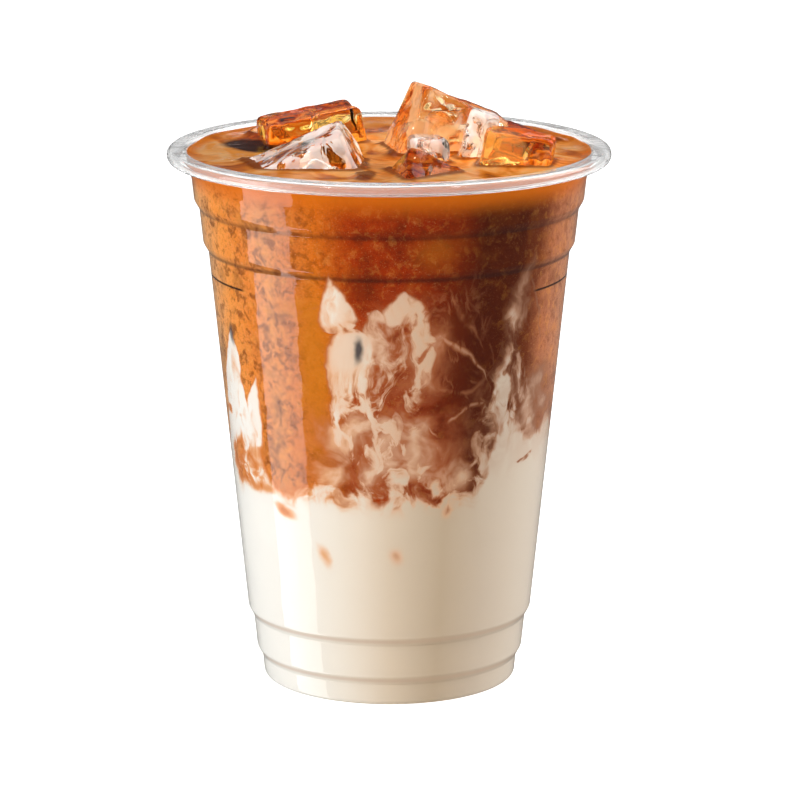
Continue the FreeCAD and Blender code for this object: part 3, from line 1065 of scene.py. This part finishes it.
def makeDrinkFinish():
    # Coffee, thin mixture, warm mixture and cream, each taking over as the share of milk grows.
    sheet = newFinish("drinkSide")
    at = readPlaces(sheet)
    milk = milkShare(sheet, at)
    turn = sheet.math("DIVIDE", sheet.math("ADD", at["trueAngle"], 180.0), 360.0)
    colour = coffeeColour(sheet, at, turn)
    # These colours round the cup hold painted light and shade: lighter on the left, darker at the
    # front-right.
    mixtures = {name: sheet.ramp(turn, marble[name]) for name, start, full in marble["stages"]}
    for name, start, full in marble["stages"]:
        colour = sheet.mix(sheet.step(milk, start, full), colour, mixtures[name])
    rise = sheet.step(at["height"], *marble["veilRise"])
    veil = sheet.times(rise, sheet.step(at["cloud"], *marble["veilEdge"]))
    veil = sheet.times(veil, sheet.step(milk, *marble["veilMilk"]))
    colour = sheet.wash(colour, mixtures["warm"], veil, sheet.curve(at["trueAngle"], marble["veil"]))
    # Painted shade in the creases over the milk.
    for level, half, strength in marble["milkCreases"]:
        line = sheet.band(at["trueHeight"], level, half)
        colour = sheet.wash(colour, marble["milkCreaseShadeTone"], line, strength)
    for data in marble["drops"]:
        colour = sheet.wash(colour, marble["dropsTone"], spot(sheet, at, data))
    level, half, start, strength = marble["ringLine"]
    line = sheet.band(at["trueHeight"], level, half, half * 0.4)
    sides = sheet.step(sheet.math("ABSOLUTE", at["trueAngle"]), start, start + 3)
    colour = sheet.wash(colour, marble["ringTone"], line, sides, strength)
    return sheet.finishMatte(colour)


top = {
    "warp": (0.07, 14.0),      # scale of the streaks, and how far they push
    "iceShadePush": 6.0,
    "cloud": (0.08, 3.0, 0.5, 0.8),
    "foam": (
        (0.30, 140, 56, 4), (0.41, 214, 112, 24), (0.50, 248, 158, 72), (0.60, 254, 188, 118),
        (0.72, 246, 152, 46),
    ),
    # Painted shade and dark reflection beside the ice: x, y, half sizes, turn, strength.
    "iceShades": (
        (-30, 9, 5.5, 9, 20, 1.0), (-12, 2, 6, 5, 0, 0.5), (6, -24, 7, 3.5, 0, 0.8), (37, 30, 9, 9, 0, 0.9),
    ),
    "iceShadeDepth": 40,
    "iceShadeEdge": (1.2, 0.7),            # shares of its half sizes where the painted shade starts and is full
    "iceShadeTone": (56, 18, 4),
    "meniscusShade": (-0.05, 0.35, 0.8),      # painted contact shade, darker where the surface stands up by the ice: from, full, strength
    "meniscusShadeWithin": (42.5, 40.5),      # radius where that stops and is full
    "meniscusShadeTone": (120, 48, 8),
    "border": (40.5, 44.3, 0.8),       # painted glow of light in the coffee by the wall: radius from, full, strength
    "edgeGlowTone": (222, 118, 22),
    "ripple": (0.35, 0.6, 0.4),        # scale, depth, strength
    # The finish round the ice; its darkest tones are painted shade.
    "deepCloud": (0.16, 4.0, 0.6, 1.4),
    "deep": (
        (0.32, 40, 12, 3), (0.42, 170, 74, 14), (0.50, 236, 150, 52), (0.60, 246, 200, 132),
        (0.70, 200, 100, 26),
    ),
}


def makeTopFinish():
    # Tan foam and orange coffee in slow streaks, with painted shade and dark reflection beside the ice,
    # painted shade where the surface stands up by it, and a painted glow by the wall.
    sheet = newFinish("drinkTop")
    place = sheet.millimetres()
    scale, push = top["warp"]
    noise = sheet.noise(place, scale, colour=True)
    colour = sheet.ramp(sheet.noise(sheet.push(place, noise, push), *top["cloud"]), top["foam"])
    shifted = sheet.push(place, noise, top["iceShadePush"])
    # Painted shade and dark reflection of the ice on the surface.
    for x, y, wide, tall, turn, strength in top["iceShades"]:
        iceShade = sheet.oval(shifted, (x, y, drinkLevel), (wide, tall, top["iceShadeDepth"]), turn, *top["iceShadeEdge"])
        colour = sheet.wash(colour, top["iceShadeTone"], iceShade, strength)
    x, y, z = sheet.split(place)
    radius = sheet.math("SQRT", sheet.math("ADD", sheet.times(x, x), sheet.times(y, y)))
    # Painted shade where the meniscus stands up against the ice.
    start, full, strength = top["meniscusShade"]
    meniscusShade = sheet.step(z, drinkLevel + start, drinkLevel + full)
    within = sheet.step(radius, *top["meniscusShadeWithin"])
    colour = sheet.wash(colour, top["meniscusShadeTone"], meniscusShade, within, strength)
    # Painted glow by the wall.
    start, full, strength = top["border"]
    colour = sheet.wash(colour, top["edgeGlowTone"], sheet.step(radius, start, full), strength)
    scale, depth, strength = top["ripple"]
    ripple = sheet.bump(sheet.noise(place, scale), depth, strength)
    return sheet.finish(sheet.shader("BsdfPrincipled", Base_Color=colour, Roughness=0.12, IOR=1.33,
                                     Specular_IOR_Level=0.05, Normal=ripple))


def makeCavityFinish():
    # What is seen through the ice: amber coffee with near-black streaks of painted shade.
    sheet = newFinish("drinkCavity")
    colour = sheet.ramp(sheet.noise(sheet.millimetres(), *top["deepCloud"]), top["deep"])
    return sheet.finishMatte(colour)


def makeDrink():
    # The cut body, each face finished by where it lies: 0 the side and foot, 1 the top, 2 round the ice.
    profile = drinkProfile()
    mesh = cutRoundIce(makeDrinkBody(profile))
    mesh.name = "drinkBody"
    mesh.materials.clear()
    for finish in (makeDrinkFinish(), makeTopFinish(), makeCavityFinish()):
        mesh.materials.append(finish)
    centres = readVectors(mesh.polygons, "center") / mm
    normals = readVectors(mesh.polygons, "normal")
    height = centres[:, 2]
    radius = np.hypot(centres[:, 0], centres[:, 1])
    wall = np.interp(height, profile[:, 1], profile[:, 0])
    kind = np.full(len(centres), 2)
    kind[(height > drinkLevel - drink["topDepth"]) & (normals[:, 2] > 0.3)] = 1
    kind[(radius > wall - drink["sideDepth"]) & (kind != 1)] = 0
    kind[height < drink["baseHeight"]] = 0
    mesh.polygons.foreach_set("material_index", kind.astype(np.int32))
    mesh.shade_smooth()
    return newPiece("drinkBody", mesh, "coffee", "milk", "coffee")


drinkPiece = makeDrink()
print("drink made:", len(drinkPiece.data.polygons), "faces")


studio = {
    "world": 0.13,             # strength of the plain light from all round
    "floorSize": 6000.0,
    "floorGlow": 0.8,          # so that the floor looks white
    "floorGrain": 6.0,         # scale per metre
    "floorTones": ((0.3, 244, 243, 241), (0.7, 250, 249, 247)),
    "cameraBack": 978.0,
    "cameraOver": 168.0,       # over the middle of the rolled rim
    "cameraSide": 2.4,
    "pitch": 12.9,             # degrees down
    "lens": 202.2,
    "sensor": 36,
    "farthest": 20,            # metres
    "aim": 70,                 # height that the lamps are turned to
    # Soft boxes: azimuth (0 in front, + to the right), distance, height, width, tallness, watts, ice only.
    "lamps": {
        "keyBox": (-79, 700, -50, 410, 1300, 4.1, False),
        "frontBox": (-10, 900, 900, 900, 500, 1.5, False),
        "sideBox": (108, 800, 620, 760, 700, 4.5, False),
        "backBox": (180, 1300, 1400, 1600, 700, 6.5, False),
        "leftSpark": (-35, 700, 700, 110, 110, 1.0, False),
        "leftGlint": (-50, 600, 420, 90, 90, 3.5, True),
        "rightSpark": (42, 700, 800, 110, 110, 0.7, False),
        "rightGlint": (60, 600, 520, 90, 90, 3.0, True),
    },
}


def makeFloor():
    # A plain square that is seen as white, but lights the cup only as much as a lit floor would.
    half = studio["floorSize"] / 2 * mm
    points = np.array([(-half, -half, 0), (half, -half, 0), (half, half, 0), (-half, half, 0)])
    mesh = fillMesh("floor", points, np.array([[0, 1, 2, 3]]))
    sheet = newFinish("floorFinish")
    colour = sheet.ramp(sheet.noise(sheet.metres(), studio["floorGrain"]), studio["floorTones"])
    diffuse = sheet.shader("BsdfPrincipled", Base_Color=colour, Roughness=0.9, Specular_IOR_Level=0.1)
    both = sheet.add("AddShader")
    sheet.join(both.inputs[0], diffuse)
    sheet.join(both.inputs[1], sheet.shader("Emission", Strength=studio["floorGlow"]))
    mesh.materials.append(sheet.finish(sheet.mixShaders(sheet.seenRay(), diffuse, both.outputs[0])))
    floor = addObject("floor", mesh)
    floor.visible_glossy = False


def makeWorld():
    # White where it is seen, weak plain light for everything else.
    world = bpy.data.worlds.new("studio")
    bpy.context.scene.world = world
    sheet = NodeSheet(world, "OutputWorld")
    plain, white = [sheet.shader("Background", Color=(1, 1, 1, 1), Strength=strength)
                    for strength in (studio["world"], 1.0)]
    sheet.finish(sheet.mixShaders(sheet.seenRay(), plain, white))


def makeLamp(name, azimuth, distance, height, width, tall, power, iceOnly):
    # A soft box on a circle about the cup, turned towards it: x = d sin a, y = -d cos a.
    lamp = bpy.data.lights.new(name, "AREA")
    lamp.shape = "RECTANGLE"
    lamp.size = width * mm
    lamp.size_y = tall * mm
    lamp.energy = power
    thing = addObject(name, lamp)
    turn = math.radians(azimuth)
    thing.location = Vector((distance * math.sin(turn), -distance * math.cos(turn), height)) * mm
    aim = Vector((0, 0, studio["aim"] * mm)) - thing.location
    thing.rotation_euler = aim.to_track_quat("-Z", "Y").to_euler()
    if iceOnly:
        group = bpy.data.collections.new(name + "Lit")
        for piece in icePieces.values():
            group.objects.link(piece)
        thing.light_linking.receiver_collection = group


def makeCamera():
    # In front of the cup and a little over it, looking down by the pitch.
    camera = bpy.data.cameras.new("camera")
    camera.lens = studio["lens"]
    camera.sensor_width = studio["sensor"]
    camera.clip_end = studio["farthest"]
    thing = addObject("camera", camera)
    over = cupTop - cup["curlHeight"] / 2 + studio["cameraOver"]
    thing.location = (studio["cameraSide"] * mm, -studio["cameraBack"] * mm, over * mm)
    thing.rotation_euler = (math.radians(90 - studio["pitch"]), 0, 0)
    bpy.context.scene.camera = thing


makeFloor()
makeWorld()
for name, settings in studio["lamps"].items():
    makeLamp(name, *settings)
makeCamera()
bpy.context.scene.view_settings.view_transform = "Standard"
print("studio made")
